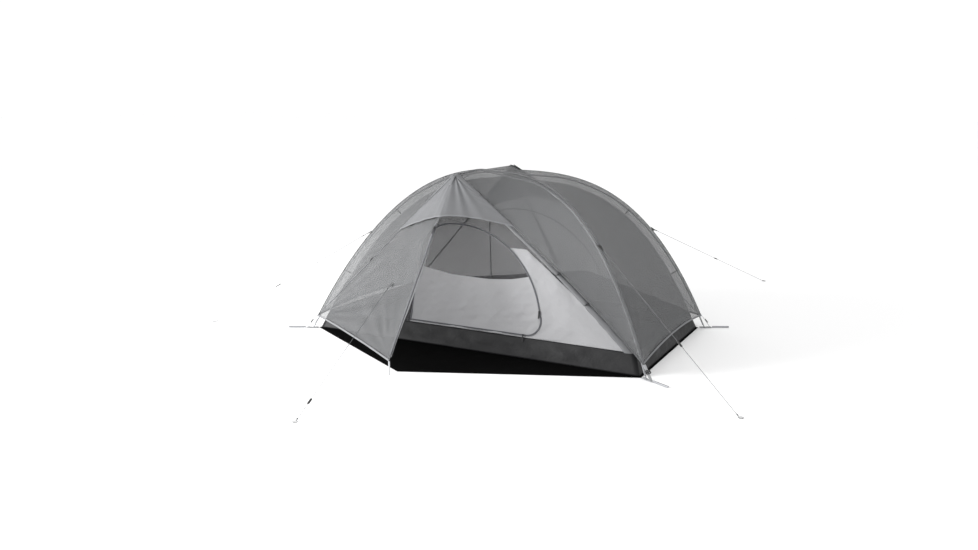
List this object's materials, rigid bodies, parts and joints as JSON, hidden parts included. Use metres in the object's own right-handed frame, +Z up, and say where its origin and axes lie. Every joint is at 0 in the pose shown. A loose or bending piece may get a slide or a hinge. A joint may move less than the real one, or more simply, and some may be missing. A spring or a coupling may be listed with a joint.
{
  "type": "dome tent",
  "caption": "Pitched dome tent with an inner tent, a hubbed pole set, a fly with two vestibules, one door rolled back, and guylines.",
  "frame": {"origin": "on the ground under the middle of the inner floor", "axes": "+X along the sleepers, towards the end farther from the pole crossing; -Y towards the front vestibule whose door is open; +Z up"},
  "size_m": [3.5054, 4.2404, 1.0189],
  "materials": {
    "groundsheet": "coated groundsheet cloth, matt black",
    "tub_fabric": "coated floor cloth, dark grey, slightly shiny",
    "inner_fabric": "uncoated breathable ripstop, light grey",
    "fly_fabric": "silicone coated ripstop, mid grey, translucent",
    "zip_coil": "woven tape with a nylon coil",
    "zip_metal": "black lacquered",
    "webbing": "grey woven webbing",
    "cord": "light grey braided cord",
    "moulded_plastic": "moulded black acetal",
    "pole_alloy": "satin anodised",
    "hub_alloy": "forged, satin anodised"
  },
  "bodies": {
    "tent": {"bathtub_floor": "tub_fabric", "brow_pole": "pole_alloy", "corner_buckles": "moulded_plastic", "corner_eyelets": "hub_alloy", "corner_webbing": "webbing", "fly_front_left": "fly_fabric", "fly_front_right": "fly_fabric", "fly_front_zip": "zip_coil", "fly_left_end": "fly_fabric", "fly_rear_left": "fly_fabric", "fly_rear_right": "fly_fabric", "fly_rear_zip": "zip_coil", "fly_right_end": "fly_fabric", "footprint": "groundsheet", "front_door_closed": "fly_fabric", "front_door_rolled": "fly_fabric", "front_hood": "fly_fabric", "ground_pegs": "pole_alloy", "guyline_end_loops": "cord", "guyline_front": "cord", "guyline_left": "cord", "guyline_rear": "cord", "guyline_right": "cord", "guyline_tabs": "webbing", "inner_canopy_left": "inner_fabric", "inner_canopy_right": "inner_fabric", "inner_front_door": "inner_fabric", "inner_front_wall": "inner_fabric", "inner_front_zip": "zip_coil", "inner_rear_door": "inner_fabric", "inner_rear_wall": "inner_fabric", "inner_rear_zip": "zip_coil", "pole_clips": "moulded_plastic", "pole_ferrules": "pole_alloy", "pole_front_left": "pole_alloy", "pole_front_right": "pole_alloy", "pole_hub": "hub_alloy", "pole_rear_left": "pole_alloy", "pole_rear_right": "pole_alloy", "pole_tips": "hub_alloy", "rear_door_left": "fly_fabric", "rear_door_right": "fly_fabric", "rear_hood": "fly_fabric", "shock_cords": "cord"},
    "fly_front_slider": {"fly_front_slider": "zip_metal"},
    "fly_front_pull": {"fly_front_pull": "zip_metal"},
    "fly_rear_slider": {"fly_rear_slider": "zip_metal"},
    "fly_rear_pull": {"fly_rear_pull": "zip_metal"},
    "inner_front_sill_slider": {"inner_front_sill_slider": "zip_metal"},
    "inner_front_sill_pull": {"inner_front_sill_pull": "zip_metal"},
    "inner_front_arc_slider": {"inner_front_arc_slider": "zip_metal"},
    "inner_front_arc_pull": {"inner_front_arc_pull": "zip_metal"},
    "inner_rear_sill_slider": {"inner_rear_sill_slider": "zip_metal"},
    "inner_rear_sill_pull": {"inner_rear_sill_pull": "zip_metal"},
    "line_tensioner_left": {"line_tensioner_left": "moulded_plastic"},
    "line_tensioner_front": {"line_tensioner_front": "moulded_plastic"},
    "line_tensioner_right": {"line_tensioner_right": "moulded_plastic"},
    "line_tensioner_rear": {"line_tensioner_rear": "moulded_plastic"},
    "roll_toggle_upper": {"roll_toggle_upper": "moulded_plastic"},
    "roll_toggle_lower": {"roll_toggle_lower": "moulded_plastic"}
  },
  "joints": [
    {"name": "fly_front_zip_slide", "type": "slide", "parent": "tent", "child": "fly_front_slider", "axis": [-0.0381, 0.6446, 0.7636], "range_m": [-0.7997, 0]},
    {"name": "fly_front_pull_flip", "type": "hinge", "parent": "fly_front_slider", "child": "fly_front_pull", "pos_m": [-0.16709, -0.63709, 0.73168], "axis": [-0.9023, 0.3061, -0.3035], "range_deg": [0, 150]},
    {"name": "fly_rear_zip_slide", "type": "slide", "parent": "tent", "child": "fly_rear_slider", "axis": [-0.0381, -0.6446, 0.7636], "range_m": [-0.0113, 0.8059]},
    {"name": "fly_rear_pull_flip", "type": "hinge", "parent": "fly_rear_slider", "child": "fly_rear_pull", "pos_m": [-0.13703, 1.14527, 0.12968], "axis": [0.9023, 0.3061, 0.3035], "range_deg": [0, 150]},
    {"name": "inner_front_sill_slide", "type": "slide", "parent": "tent", "child": "inner_front_sill_slider", "axis": [-1, 0, 0], "range_m": [0, 0.759]},
    {"name": "inner_front_sill_pull_flip", "type": "hinge", "parent": "inner_front_sill_slider", "child": "inner_front_sill_pull", "pos_m": [0.361, -0.53685, 0.13063], "axis": [-1, 0, 0], "range_deg": [0, 150]},
    {"name": "inner_front_arc_travel", "type": "hinge", "parent": "tent", "child": "inner_front_arc_slider", "pos_m": [-0.146, -0.53134, 0.12333], "axis": [0, -0.9783, 0.2071], "range_deg": [0, 79]},
    {"name": "inner_front_arc_pull_flip", "type": "hinge", "parent": "inner_front_arc_slider", "child": "inner_front_arc_pull", "pos_m": [0.44782, -0.50743, 0.2696], "axis": [-1, 0, 0], "range_deg": [0, 150]},
    {"name": "inner_rear_sill_slide", "type": "slide", "parent": "tent", "child": "inner_rear_sill_slider", "axis": [-1, 0, 0], "range_m": [0, 0.759]},
    {"name": "inner_rear_sill_pull_flip", "type": "hinge", "parent": "inner_rear_sill_slider", "child": "inner_rear_sill_pull", "pos_m": [0.361, 0.53685, 0.13063], "axis": [1, 0, 0], "range_deg": [0, 150]},
    {"name": "line_tensioner_left_slide", "type": "slide", "parent": "tent", "child": "line_tensioner_left", "axis": [-0.7993, -0.3258, -0.5049], "range_m": [-0.55, 0.35]},
    {"name": "line_tensioner_front_slide", "type": "slide", "parent": "tent", "child": "line_tensioner_front", "axis": [0.2082, -0.9258, -0.3155], "range_m": [-0.95, 0.08]},
    {"name": "line_tensioner_right_slide", "type": "slide", "parent": "tent", "child": "line_tensioner_right", "axis": [0.737, -0.3928, -0.55], "range_m": [-0.55, 0.35]},
    {"name": "line_tensioner_rear_slide", "type": "slide", "parent": "tent", "child": "line_tensioner_rear", "axis": [0.1957, 0.9236, -0.3297], "range_m": [-0.8, 0.8]},
    {"name": "roll_toggle_upper_turn", "type": "hinge", "parent": "tent", "child": "roll_toggle_upper", "pos_m": [0.57561, -0.53144, 0.50793], "axis": [0.4364, -0.5759, 0.6913], "range_deg": [-75, 75]},
    {"name": "roll_toggle_lower_turn", "type": "hinge", "parent": "tent", "child": "roll_toggle_lower", "pos_m": [0.76065, -0.56121, 0.36368], "axis": [0.4617, -0.5733, 0.6769], "range_deg": [-75, 75]}
  ]
}
